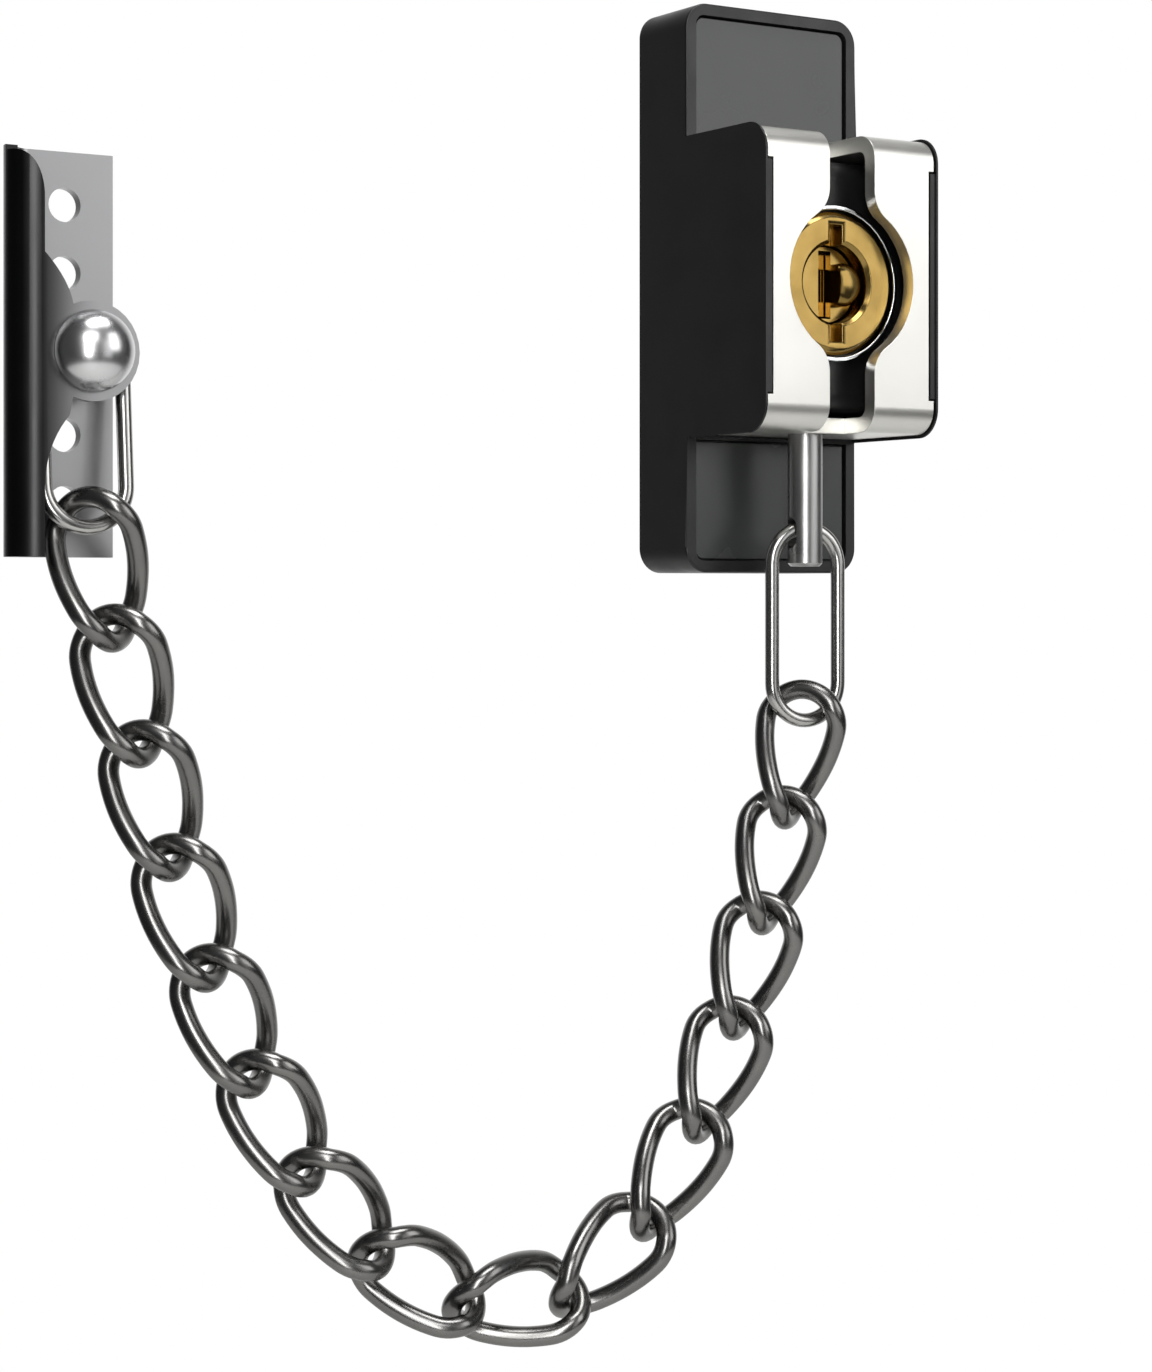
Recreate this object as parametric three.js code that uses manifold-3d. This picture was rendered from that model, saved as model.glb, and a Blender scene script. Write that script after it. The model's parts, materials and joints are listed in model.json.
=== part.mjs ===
// Door chain guard: a keyed lock body for the door, a wall bracket for the frame, and the chain between.
// Millimetres, +Z up. X runs along the wall, +Y points into the wall, and the fronts face -Y.
// The origin is the centre of the lock body's back face. The backs of both halves lie in the plane Y = 0.
import * as THREE from "three";
import { mergeVertices } from "three/addons/utils/BufferGeometryUtils.js";
import Module from "manifold-3d";

const wasm = await Module();
wasm.setup();

// ---------- driving dimensions ----------
const gap = 0.3; // clearance between pieces that touch on the real object
const overcut = 1; // how far a cutting tool runs past the face that it opens

const base = { width: 33.5, height: 90, depth: 13.3, corner: 4, wall: 2, front: 3 };
const panel = { rim: 1.9, thickness: 0.9, recess: 0.6, corner: 1.5 };
const backPlate = { thickness: 1.5, wallScrewRadius: 2.3, wallScrewZ: 33, driverRadius: 4 };
const plateScrew = { z: 40, radius: 1, headRadius: 1.9, headHeight: 0.5, post: 2.6, length: 7 };
const rooting = 0.5; // how far a joined piece reaches into its neighbour

const guard = { height: 46.4, front: 34.2, sheet: 2.5, bend: 4, slot: 8.7, opening: 12 };
const guardEnds = { tabWidth: 20, tabEnd: 2.2, topSlotEnd: 17.5, bottomSlotEnd: 26.4, blend: 5 };
const cheek = { wall: 1.6, lip: 0.35, over: 0.5, tongueWidth: 1.35, tongueHeight: 35.4 };

const cylinder = { face: 30.3, flange: 11.2, body: 9.5, bore: 6.2, rear: 16.3, bevel: 1, lip: 0.6 };
const clip = { front: 17.9, rear: 16.5, groove: 8.6, outer: 10.7, mouth: 7 };
const ring = { wall: 0.7, front: 30 };
const keyway = { width: 2.4, reach: 9.1, depth: 3.3, chamfer: 0.35, rim: 0.6 };
const core = { floor: 27, rear: 17.9, slotEnd: 20.6, bossX: 2.5, bossRadius: 3.4, bossTop: 28.4, tip: 29.9 };
const wafer = { count: 3, first: 25.1, pitch: 1.7, thickness: 0.7, width: 5.4, height: 9.6, window: 3, opening: 5.2 };
const cam = { radius: 5.4, front: 17.6, rear: 15.9, pinThrow: 3.2, pinRadius: 0.9, pinEnd: 14.3, forkPlay: 0.4 };
const camScrew = { radius: 1, headRadius: 1.7, headEnd: 14.8, tip: 20.1 };
const slide = { z: -17, thickness: 1.5, left: 8.2, right: 6.5, front: 25.6, rear: 14.2, arm: 1.2, armWidth: 6.4 };

const lockCase = { front: 27.5, height: 39.4, corner: 3 };
const caseScrew = { x: 12, z: 12.5, radius: 1.3, headRadius: 2.2, headHeight: 1.6, tip: 21 };

const plug = { radius: 2.75, y: -22, top: -12.6, bottom: -44, chamfer: 0.5, eyeZ: -37.9, neck: 1.7 };
const detent = { z: -14.4, depth: 0.45, ball: 0.9, springEnd: 13.2, coil: 0.75, wire: 0.3, turns: 5 };

const longLink = { wire: 2.25, length: 32.65, width: 14.1, swing: 12 };
const curbLink = { wire: 3.1, pitch: 16.95, width: 14.3, twist: 45, twistedShare: 0.8, count: 15 };
const play = { curbs: 0.8, upper: 2.2, lower: 1.6, rivet: 0.5 }; // wire to wire: curb links, then the long links
const hang = { lean: 0.7, endY: -7.2, linkTopY: -3.9 }; // lean: how much slacker the bracket's side hangs

const bracket = { rivetX: -115.1, rivetZ: -14.1, depth: 9, sheet: 1.8, top: 14.7, bottom: -43.1 };
const bracketEdges = { bendX: -121.85, right: -109, lipX: -122.3, cornerHeight: 7.5, topDrop: 0.8 };
const tab = { radius: 7.1, halfAngle: 2, lowerRise: 6, lowerEase: 1.6, upperEase: 0.6 };
const neckline = { upperZ: -0.5, upperX: -118.7, upperEnd: -4.9, lowerX: -118.6, lowerStart: -21.6, lowerZ: -33.5 };
const screwHoles = { x: -116.4, radius: 2.45, offsets: [-21.25, -11.55, 11.55, 21.25] };
const rivet = { shaft: 3.8, head: 5.85, headHeight: 5.2, tailRadius: 4.8, tailHeight: 0.9, steps: 8 };

// ---------- materials ----------
const material = (color, roughness, metalness) =>
  new THREE.MeshStandardMaterial({ color, roughness, metalness });
const blackPlastic = material(0x2a2a2b, 0.45, 0);
const smokedPlastic = material(0x4a4c4b, 0.35, 0);
const satinStainless = material(0xd9d8d2, 0.35, 1);
const zincSteel = material(0xa8abad, 0.45, 1);
const brass = material(0xb88d3c, 0.22, 1);
const chrome = material(0xcfd2d4, 0.08, 1);
const springSteel = material(0x8d9093, 0.3, 1);
const nickelWire = material(0x9b9a97, 0.18, 1);
const blackNickel = material(0x3a3937, 0.2, 1);
const polishedSteel = material(0xb9babb, 0.12, 1);

// ---------- solids ----------
function solid(geometry) {
  const bare = geometry.index ? geometry.toNonIndexed() : geometry.clone();
  bare.deleteAttribute("normal");
  bare.deleteAttribute("uv");
  const merged = mergeVertices(bare, 1e-4);
  return new wasm.Manifold(
    new wasm.Mesh({
      numProp: 3,
      vertProperties: merged.attributes.position.array,
      triVerts: new Uint32Array(merged.index.array),
    }),
  );
}

function geometryOf(made) {
  const mesh = made.getMesh();
  const geometry = new THREE.BufferGeometry();
  geometry.setAttribute("position", new THREE.BufferAttribute(mesh.vertProperties, 3));
  geometry.setIndex(new THREE.BufferAttribute(mesh.triVerts, 1));
  return geometry;
}

const join = (...solids) => solids.reduce((whole, piece) => whole.add(piece));
const cut = (whole, ...tools) => tools.reduce((left, tool) => left.subtract(tool), whole);

// A box between two corners.
function box(x0, x1, y0, y1, z0, z1) {
  const geometry = new THREE.BoxGeometry(x1 - x0, y1 - y0, z1 - z0);
  return solid(geometry.translate((x0 + x1) / 2, (y0 + y1) / 2, (z0 + z1) / 2));
}

// A round bar along Y, from y0 to y1.
function barY(radius, x, z, y0, y1, sides = 32) {
  const geometry = new THREE.CylinderGeometry(radius, radius, y1 - y0, sides);
  return solid(geometry.translate(x, (y0 + y1) / 2, z));
}

// A round bar along Z, from z0 to z1.
function barZ(radius, x, y, z0, z1, sides = 32) {
  const geometry = new THREE.CylinderGeometry(radius, radius, z1 - z0, sides).rotateX(Math.PI / 2);
  return solid(geometry.translate(x, y, (z0 + z1) / 2));
}

// An outline drawn in X and Z, as thick as from y0 (front) to y1 (back).
function slabXZ(shape, y0, y1, curveSegments = 8) {
  const geometry = new THREE.ExtrudeGeometry(shape, {
    depth: y1 - y0,
    bevelEnabled: false,
    curveSegments,
  });
  return solid(geometry.rotateX(Math.PI / 2).translate(0, y1, 0));
}

// An outline drawn in Y and Z, as wide as from x0 to x1.
function slabYZ(shape, x0, x1, curveSegments = 6) {
  const geometry = new THREE.ExtrudeGeometry(shape, {
    depth: x1 - x0,
    bevelEnabled: false,
    curveSegments,
  });
  const turn = new THREE.Matrix4().makeBasis(
    new THREE.Vector3(0, 1, 0),
    new THREE.Vector3(0, 0, 1),
    new THREE.Vector3(1, 0, 0),
  );
  return solid(geometry.applyMatrix4(turn).translate(x0, 0, 0));
}

// An outline drawn in X and Y, as tall as from z0 to z1.
function slabXY(shape, z0, z1, curveSegments = 8) {
  const geometry = new THREE.ExtrudeGeometry(shape, {
    depth: z1 - z0,
    bevelEnabled: false,
    curveSegments,
  });
  return solid(geometry.translate(0, 0, z0));
}

// A profile of [radius, height] points turned about the Y axis; it closes on itself or on the axis.
function turned(profile, segments = 40) {
  const points = profile.map(([radius, height]) => new THREE.Vector2(radius, height));
  if (THREE.ShapeUtils.isClockWise(points)) points.reverse();
  return solid(new THREE.LatheGeometry(points, segments));
}

// Points over a dome that rises towards -Y, from its rim, at a depth in front of the wall, to its tip.
function domeProfile(radius, rim, rise, steps) {
  return Array.from({ length: steps + 1 }, (_, step) => {
    const angle = (Math.PI / 2) * (step / steps);
    return [step === steps ? 0 : radius * Math.cos(angle), -rim - rise * Math.sin(angle)];
  });
}

function roundedRect(x0, x1, z0, z1, radius) {
  const shape = new THREE.Shape();
  shape.moveTo(x0 + radius, z0);
  shape.lineTo(x1 - radius, z0);
  shape.absarc(x1 - radius, z0 + radius, radius, -Math.PI / 2, 0);
  shape.lineTo(x1, z1 - radius);
  shape.absarc(x1 - radius, z1 - radius, radius, 0, Math.PI / 2);
  shape.lineTo(x0 + radius, z1);
  shape.absarc(x0 + radius, z1 - radius, radius, Math.PI / 2, Math.PI);
  shape.lineTo(x0, z0 + radius);
  shape.absarc(x0 + radius, z0 + radius, radius, Math.PI, 1.5 * Math.PI);
  return shape;
}

// A block's side outline in Y and Z, with its two front corners rounded.
function frontRounded(front, back, halfHeight, radius) {
  const shape = new THREE.Shape();
  shape.moveTo(back, -halfHeight);
  shape.lineTo(back, halfHeight);
  shape.lineTo(front + radius, halfHeight);
  shape.absarc(front + radius, halfHeight - radius, radius, Math.PI / 2, Math.PI);
  shape.lineTo(front, radius - halfHeight);
  shape.absarc(front + radius, radius - halfHeight, radius, Math.PI, 1.5 * Math.PI);
  return shape;
}

const root = new THREE.Group();

function place(name, made, look) {
  const mesh = new THREE.Mesh(geometryOf(made), look);
  mesh.name = name;
  root.add(mesh);
  return mesh;
}

// ---------- lock body: moulded housing, covers and back plate ----------
const halfWidth = base.width / 2;
const halfHeight = base.height / 2;
const halfGuard = guard.height / 2;
const guardBack = guard.front - guard.sheet;
const pocketFloor = base.depth - panel.recess - panel.thickness - gap;
const baseInside = base.depth - base.front;

// A cover fills the front from the guard's lip to the rim, and only its outer corners are rounded.
function panelOutline(clearance) {
  const half = halfWidth - panel.rim - clearance;
  const end = halfHeight - panel.rim - clearance;
  const start = halfGuard + cheek.over + gap + clearance;
  const shape = new THREE.Shape();
  shape.moveTo(-half, start);
  shape.lineTo(half, start);
  shape.lineTo(half, end - panel.corner);
  shape.absarc(half - panel.corner, end - panel.corner, panel.corner, 0, Math.PI / 2);
  shape.lineTo(panel.corner - half, end);
  shape.absarc(panel.corner - half, end - panel.corner, panel.corner, Math.PI / 2, Math.PI);
  return shape;
}

const mirrored = (made) => made.rotate([0, 180, 0]);
const bothEnds = (made) => join(made, mirrored(made));

// Each side of the block: a wall behind the guard, a thin lip around its edge, a tongue in its notch.
function cheekSide() {
  const wallHalf = halfGuard - guard.sheet - gap;
  const wallFront = -(guardBack - gap);
  const outer = -halfWidth;
  const wall = slabYZ(
    frontRounded(wallFront, rooting - base.depth, wallHalf, guard.bend - guard.sheet),
    outer,
    outer + cheek.wall,
  );
  const lip = slabYZ(
    frontRounded(-guard.front - gap, rooting - base.depth, halfGuard + cheek.over, guard.bend + cheek.over),
    outer,
    outer + cheek.lip,
  );
  const halfTongue = cheek.tongueHeight / 2;
  const tongue = box(outer, outer + cheek.tongueWidth, -guard.front, wallFront + overcut, -halfTongue, halfTongue);
  return join(wall, lip, tongue);
}

function screwPost() {
  const end = -(backPlate.thickness + gap);
  const post = barY(plateScrew.post, 0, plateScrew.z, -baseInside - rooting, end, 20);
  const hole = barY(plateScrew.radius + gap, 0, plateScrew.z, end - plateScrew.length, end + overcut, 16);
  return cut(post, hole);
}

function housingShell() {
  const outline = roundedRect(-halfWidth, halfWidth, -halfHeight, halfHeight, base.corner);
  const insideX = halfWidth - base.wall;
  const insideZ = halfHeight - base.wall;
  const insideCorner = base.corner - base.wall;
  const inside = roundedRect(-insideX, insideX, -insideZ, insideZ, insideCorner);
  const pocket = slabXZ(panelOutline(0), -base.depth - overcut, -pocketFloor);
  const driverHole = barY(backPlate.driverRadius, 0, backPlate.wallScrewZ, -base.depth, -baseInside + overcut, 24);
  const tabHalf = guardEnds.tabWidth / 2 + gap;
  const tabSlot = box(
    -tabHalf,
    tabHalf,
    -base.depth - overcut,
    -baseInside + overcut,
    halfGuard - guard.sheet - gap,
    halfGuard + gap,
  );
  const caseHole = (x, z) => barY(caseScrew.radius + gap, x, z, -base.depth - overcut, overcut - baseInside, 16);
  const cheeks = join(cheekSide(), mirrored(cheekSide()));
  const shell = cut(
    join(slabXZ(outline, -base.depth, 0), cheeks),
    slabXZ(inside, -baseInside, overcut),
    bothEnds(pocket),
    bothEnds(driverHole),
    bothEnds(tabSlot),
    bothEnds(join(caseHole(caseScrew.x, caseScrew.z), caseHole(-caseScrew.x, caseScrew.z))),
  );
  return join(shell, bothEnds(screwPost()));
}

function coverPanel() {
  return slabXZ(panelOutline(gap), panel.recess - base.depth, panel.recess + panel.thickness - base.depth);
}

function mountingPlate() {
  const x = halfWidth - base.wall - gap;
  const z = halfHeight - base.wall - gap;
  const plate = slabXZ(roundedRect(-x, x, -z, z, base.corner - base.wall), -backPlate.thickness, 0);
  const front = -backPlate.thickness - overcut;
  const wallScrew = barY(backPlate.wallScrewRadius, 0, backPlate.wallScrewZ, front, overcut, 24);
  const shank = barY(plateScrew.radius + gap, 0, plateScrew.z, front, overcut, 16);
  const head = barY(plateScrew.headRadius + gap, 0, plateScrew.z, -plateScrew.headHeight - 2 * gap, overcut, 20);
  return cut(plate, bothEnds(join(wallScrew, shank, head)));
}

// A screw along Y whose head's outer face is at y = head and whose shank runs towards -Y.
function screw(x, z, head, size, length) {
  const shank = barY(size.radius, x, z, head - length, head - size.headHeight / 2, 12);
  return join(barY(size.headRadius, x, z, head - size.headHeight, head, 16), shank);
}

// ---------- lock body: steel guard over the cylinder ----------
function guardProfile() {
  const shape = new THREE.Shape();
  const inner = halfGuard - guard.sheet;
  const innerBend = guard.bend - guard.sheet;
  const back = -guardEnds.tabEnd;
  shape.moveTo(back, halfGuard);
  shape.lineTo(guard.bend - guard.front, halfGuard);
  shape.absarc(guard.bend - guard.front, halfGuard - guard.bend, guard.bend, Math.PI / 2, Math.PI);
  shape.lineTo(-guard.front, guard.bend - halfGuard);
  shape.absarc(guard.bend - guard.front, guard.bend - halfGuard, guard.bend, Math.PI, 1.5 * Math.PI);
  shape.lineTo(back, -halfGuard);
  shape.lineTo(back, -inner);
  shape.lineTo(innerBend - guardBack, -inner);
  shape.absarc(innerBend - guardBack, innerBend - inner, innerBend, 1.5 * Math.PI, Math.PI, true);
  shape.lineTo(-guardBack, inner - innerBend);
  shape.absarc(innerBend - guardBack, inner - innerBend, innerBend, Math.PI, Math.PI / 2, true);
  shape.lineTo(back, inner);
  return shape;
}

// The slot down the front: straight ends that flare through a blend into the round opening.
function guardSlot() {
  const half = guard.slot / 2;
  const blend = guardEnds.blend;
  const away = Math.sqrt((guard.opening + blend) ** 2 - (half + blend) ** 2);
  const turn = Math.atan2(away, half + blend);
  const shape = new THREE.Shape();
  const reach = halfGuard + overcut;
  shape.moveTo(half, -reach);
  shape.lineTo(half, -away);
  shape.absarc(half + blend, -away, blend, Math.PI, Math.PI - turn, true);
  shape.absarc(0, 0, guard.opening, -turn, turn);
  shape.absarc(half + blend, away, blend, Math.PI + turn, Math.PI, true);
  shape.lineTo(half, reach);
  shape.lineTo(-half, reach);
  shape.lineTo(-half, away);
  shape.absarc(-half - blend, away, blend, 0, -turn, true);
  shape.absarc(0, 0, guard.opening, Math.PI - turn, Math.PI + turn);
  shape.absarc(-half - blend, -away, blend, turn, 0, true);
  shape.lineTo(-half, -reach);
  return shape;
}

function steelGuard() {
  const half = halfWidth - cheek.lip - gap;
  const tab = guardEnds.tabWidth / 2;
  const slot = guard.slot / 2;
  const shoulder = -(base.depth + gap);
  const notch = cheek.tongueHeight / 2 + gap;
  const notchX = halfWidth - cheek.tongueWidth - gap;
  const flangeZ = halfGuard - guard.sheet - overcut;
  const top = halfGuard + overcut;
  const sideOfTab = bothEnds(box(tab, half + overcut, shoulder, 0, -top, top));
  const frontSlot = slabXZ(guardSlot(), -guard.front - overcut, -(guardBack - guard.bend), 8);
  const topSlot = box(-slot, slot, -guardBack, -guardEnds.topSlotEnd, flangeZ, top);
  const bottomSlot = box(-slot, slot, -guardBack, -guardEnds.bottomSlotEnd, -top, -flangeZ);
  const sideNotch = box(notchX, half + overcut, -guard.front - overcut, gap - guardBack, -notch, notch);
  const plugHole = barZ(plug.radius + 2 * gap, 0, plug.y, -top, -flangeZ, 24);
  return cut(
    slabYZ(guardProfile(), -half, half),
    sideOfTab,
    frontSlot,
    topSlot,
    bottomSlot,
    bothEnds(sideNotch),
    plugHole,
  );
}

// ---------- lock body: inner case and its fixings ----------
const caseBack = -(base.depth + gap);
const slideHalf = slide.thickness / 2;
const throwX = cam.pinThrow * Math.SQRT1_2; // the cam pin's x, either side of the axis
const slideTravel = 2 * throwX;

function caseBody() {
  const half = halfWidth - cheek.wall - gap;
  const blank = slabYZ(
    frontRounded(-lockCase.front, caseBack, lockCase.height / 2, lockCase.corner),
    -half,
    half,
  );
  const back = caseBack + overcut;
  const bore = barY(cylinder.body + gap, 0, 0, -lockCase.front - overcut, back, 40);
  const clipRoom = barY(clip.outer + gap, 0, 0, -clip.front - gap, back, 40);
  const armRoom = box(
    -(throwX + slide.armWidth / 2 + gap),
    throwX + slide.armWidth / 2 + gap,
    -(slide.rear + slide.arm + gap),
    back,
    slide.z - slideHalf - gap,
    0,
  );
  const slideRoom = box(
    -slide.left - gap,
    slide.right + slideTravel + gap,
    -slide.front - gap,
    back,
    slide.z - slideHalf - gap,
    slide.z + slideHalf + gap,
  );
  const plugBore = barZ(plug.radius + gap, 0, plug.y, -halfGuard, plug.top + gap, 24);
  const detentBore = solid(
    new THREE.CylinderGeometry(detent.ball + gap, detent.ball + gap, half, 14)
      .rotateZ(Math.PI / 2)
      .translate(half / 2 + overcut, plug.y, detent.z),
  );
  const screwHole = (x, z) => barY(caseScrew.radius + gap, x, z, -caseScrew.tip - gap, back, 16);
  const screwHoles4 = bothEnds(
    join(screwHole(caseScrew.x, caseScrew.z), screwHole(-caseScrew.x, caseScrew.z)),
  );
  return cut(blank, bore, clipRoom, armRoom, slideRoom, plugBore, detentBore, screwHoles4);
}

function caseScrews() {
  const head = caseScrew.headHeight + gap - baseInside;
  const length = caseScrew.tip + head;
  for (const [index, [x, z]] of [[1, 1], [-1, 1], [-1, -1], [1, -1]].entries())
    place(
      `case_screw_${index + 1}`,
      screw(x * caseScrew.x, z * caseScrew.z, head, caseScrew, length),
      zincSteel,
    );
}

// ---------- cylinder: shell, ring, clip, core, wafers, cam ----------
function cylinderShell() {
  const { face, flange, body, bore, rear, bevel, lip } = cylinder;
  const seat = lockCase.front + gap;
  const shell = turned([
    [bore, -rear],
    [body, -rear],
    [body, -clip.rear],
    [clip.groove, -clip.rear],
    [clip.groove, -clip.front],
    [body, -clip.front],
    [body, -seat],
    [flange, -seat],
    [flange, bevel - face],
    [flange - bevel, -face],
    [bore + lip, -face],
    [bore, lip - face],
    [bore, -rear],
  ]);
  const half = keyway.width / 2;
  const slot = box(-half, half, -face - overcut, keyway.depth - face, -keyway.reach, keyway.reach);
  return cut(shell, slot, keywayFlare());
}

// The keyway's rim slopes outwards at the face, like the rim of a funnel.
function keywayFlare() {
  const half = keyway.width / 2;
  const { reach, chamfer } = keyway;
  const level = (spread, y) => box(-half - spread, half + spread, y - gap, y, -reach - spread, reach + spread);
  return wasm.Manifold.hull([level(0, chamfer - cylinder.face), level(chamfer + gap, -cylinder.face)]);
}

function faceRing() {
  const inner = cylinder.flange + gap;
  const outer = inner + ring.wall;
  const back = -(lockCase.front + gap);
  return turned([[inner, back], [outer, back], [outer, -ring.front], [inner, -ring.front], [inner, back]]);
}

function cylinderClip() {
  const y0 = -(clip.front - gap);
  const y1 = -(clip.rear + gap);
  const whole = cut(
    barY(clip.outer, 0, 0, y0, y1, 40),
    barY(clip.groove + gap, 0, 0, y0 - overcut, y1 + overcut, 40),
  );
  return cut(whole, box(-clip.mouth / 2, clip.mouth / 2, y0 - overcut, y1 + overcut, 0, clip.outer + overcut));
}

const coreRadius = cylinder.bore - gap;
const waferY = (index) => wafer.pitch * index - wafer.first;

function cylinderCore() {
  const { floor, rear, slotEnd, bossX, bossRadius, bossTop, tip } = core;
  const dome = domeProfile(bossRadius, bossTop, tip - bossTop, 5);
  const boss = turned([[0, rooting - floor], [bossRadius, rooting - floor], ...dome], 28).translate([bossX, 0, 0]);
  const half = keyway.width / 2;
  const reach = coreRadius - keyway.rim;
  const slot = box(-half, half, -cylinder.face, -slotEnd, -reach, reach);
  const room = wafer.thickness / 2 + gap;
  const across = wafer.width / 2 + gap;
  const pockets = Array.from({ length: wafer.count }, (_, index) =>
    box(-across, across, waferY(index) - room, waferY(index) + room, -cylinder.bore, cylinder.bore),
  );
  const screwHole = barY(camScrew.radius + gap, 0, 0, -camScrew.tip - gap, -rear + overcut, 16);
  return cut(join(barY(coreRadius, 0, 0, -floor, -rear, 40), boss), slot, ...pockets, screwHole);
}

function waferPlate(index) {
  const y = waferY(index);
  const half = wafer.thickness / 2;
  const plate = box(-wafer.width / 2, wafer.width / 2, y - half, y + half, -wafer.height / 2, wafer.height / 2);
  const window = box(
    -wafer.window / 2,
    wafer.window / 2,
    y - overcut,
    y + overcut,
    -wafer.opening / 2,
    wafer.opening / 2,
  );
  return cut(plate, window);
}

function coreCam() {
  const disc = barY(cam.radius, 0, 0, -cam.front, -cam.rear, 36);
  const pin = barY(cam.pinRadius, -throwX, -throwX, -cam.rear - rooting, -cam.pinEnd, 16);
  const hole = barY(camScrew.radius + gap, 0, 0, -cam.front - overcut, -cam.rear + overcut, 16);
  return cut(join(disc, pin), hole);
}

function camScrewPiece() {
  const head = -camScrew.headEnd;
  const seat = gap - cam.rear;
  return join(
    barY(camScrew.headRadius, 0, 0, seat, head, 20),
    barY(camScrew.radius, 0, 0, -camScrew.tip, seat + rooting, 12),
  );
}

// The sliding plate that takes the plug's neck, with an arm up to the cam pin.
function lockingSlide() {
  const z0 = slide.z - slideHalf;
  const z1 = slide.z + slideHalf;
  const plate = box(-slide.left, slide.right, -slide.front, -slide.rear, z0, z1);
  const armTop = -(camScrew.headRadius + gap);
  const arm = box(
    -throwX - slide.armWidth / 2,
    -throwX + slide.armWidth / 2,
    -slide.rear - slide.arm,
    -slide.rear,
    z0,
    armTop,
  );
  const fork = cam.pinRadius + cam.forkPlay;
  const forkFoot = -(cam.pinThrow + cam.pinRadius + gap);
  const forkSlot = box(
    -throwX - fork,
    -throwX + fork,
    -slide.rear - slide.arm - overcut,
    overcut - slide.rear,
    forkFoot,
    0,
  );
  const neckHalf = plug.neck + gap;
  const wide = barZ(plug.radius + gap, 0, plug.y, z0 - overcut, z1 + overcut, 24);
  const narrow = box(-slideTravel, 0, plug.y - neckHalf, plug.y + neckHalf, z0 - overcut, z1 + overcut);
  const end = barZ(neckHalf, -slideTravel, plug.y, z0 - overcut, z1 + overcut, 24);
  return cut(join(plate, arm), forkSlot, wide, narrow, end);
}

// ---------- plug and its detent ----------
const chainYaw = -Math.atan2(hang.endY - plug.y, -bracket.rivetX);

function chainPlug() {
  const { radius, y, top, bottom, chamfer, neck, eyeZ } = plug;
  const neckHalf = slideHalf + gap;
  const profile = [
    [0, bottom],
    [radius - chamfer, bottom],
    [radius, bottom + chamfer],
    [radius, slide.z - neckHalf],
    [neck, slide.z - neckHalf],
    [neck, slide.z + neckHalf],
    [radius, slide.z + neckHalf],
    [radius, detent.z - 2 * detent.depth],
    [radius - detent.depth, detent.z],
    [radius, detent.z + 2 * detent.depth],
    [radius, top - 2 * chamfer],
    [radius - 2 * chamfer, top],
    [0, top],
  ];
  const pin = turned(profile, 32).rotate([90, 0, 0]).translate([0, y, 0]);
  // The eye runs across the plug and is taller than the wire, so that the link can swing in it.
  const eye = longLink.wire / 2 + gap;
  const swing = THREE.MathUtils.degToRad(longLink.swing);
  const slope = Math.asin(radius / longRadius);
  const bow = longRadius * (1 - Math.cos(slope));
  const steep = (longLink.wire / 2) * (1 / Math.cos(slope + swing) - 1);
  const rise = radius * Math.tan(swing) - bow + gap;
  const drop = bow + radius * Math.tan(swing) + steep + gap;
  const bar = (z) => new THREE.CylinderGeometry(eye, eye, 4 * radius, 20).rotateZ(Math.PI / 2).translate(0, 0, z);
  const between = box(-2 * radius, 2 * radius, -eye, eye, -drop, rise);
  const tool = join(solid(bar(rise)), solid(bar(-drop)), between);
  const turn = THREE.MathUtils.radToDeg(chainYaw);
  return cut(pin, tool.rotate([0, 0, turn]).translate([0, y, eyeZ]));
}

function detentBall() {
  const x = plug.radius - detent.depth + gap + detent.ball;
  return solid(new THREE.SphereGeometry(detent.ball, 12, 8).translate(x, plug.y, detent.z));
}

function detentSpring() {
  const start = plug.radius - detent.depth + 2 * gap + 2 * detent.ball;
  class Coil extends THREE.Curve {
    getPoint(t, target = new THREE.Vector3()) {
      const angle = 2 * Math.PI * detent.turns * t;
      const x = start + detent.wire + t * (detent.springEnd - start - 2 * detent.wire);
      return target.set(x, plug.y + detent.coil * Math.cos(angle), detent.z + detent.coil * Math.sin(angle));
    }
  }
  const section = new THREE.Shape().absarc(0, 0, detent.wire / 2, 0, 2 * Math.PI);
  return solid(
    new THREE.ExtrudeGeometry(section, {
      steps: detent.turns * 8,
      curveSegments: 3,
      extrudePath: new Coil(),
      bevelEnabled: false,
    }),
  );
}

// ---------- chain ----------
const longRadius = (longLink.width - longLink.wire) / 2;
const longHalf = (longLink.length - longLink.wire) / 2;

// A link's centreline: two straights and two half circles, with its ends turned about its long axis.
// Its own X runs along the link, its Y across the link in the chain's plane, its Z out of that plane.
class LinkCurve extends THREE.Curve {
  constructor(halfLength, radius, twist, twistedShare) {
    super();
    Object.assign(this, { halfLength, radius, twist, twistedShare });
  }
  getPoint(t, target = new THREE.Vector3()) {
    const straight = this.halfLength - this.radius;
    const bow = Math.PI * this.radius;
    const round = 4 * straight + 2 * bow;
    const shifted = (t + straight / round) % 1; // the curve starts in the middle of a leg
    const turn = shifted >= 0.5 ? -1 : 1;
    const travelled = (shifted % 0.5) * round;
    let along = travelled - straight;
    let across = this.radius;
    if (travelled > 2 * straight) {
      const angle = (travelled - 2 * straight) / this.radius;
      along = straight + this.radius * Math.sin(angle);
      across = this.radius * Math.cos(angle);
    }
    const share = THREE.MathUtils.clamp(along / (this.halfLength * this.twistedShare), -1, 1);
    const angle = -turn * share * this.twist;
    return target.set(turn * along, turn * across * Math.cos(angle), turn * across * Math.sin(angle));
  }
}

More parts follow.
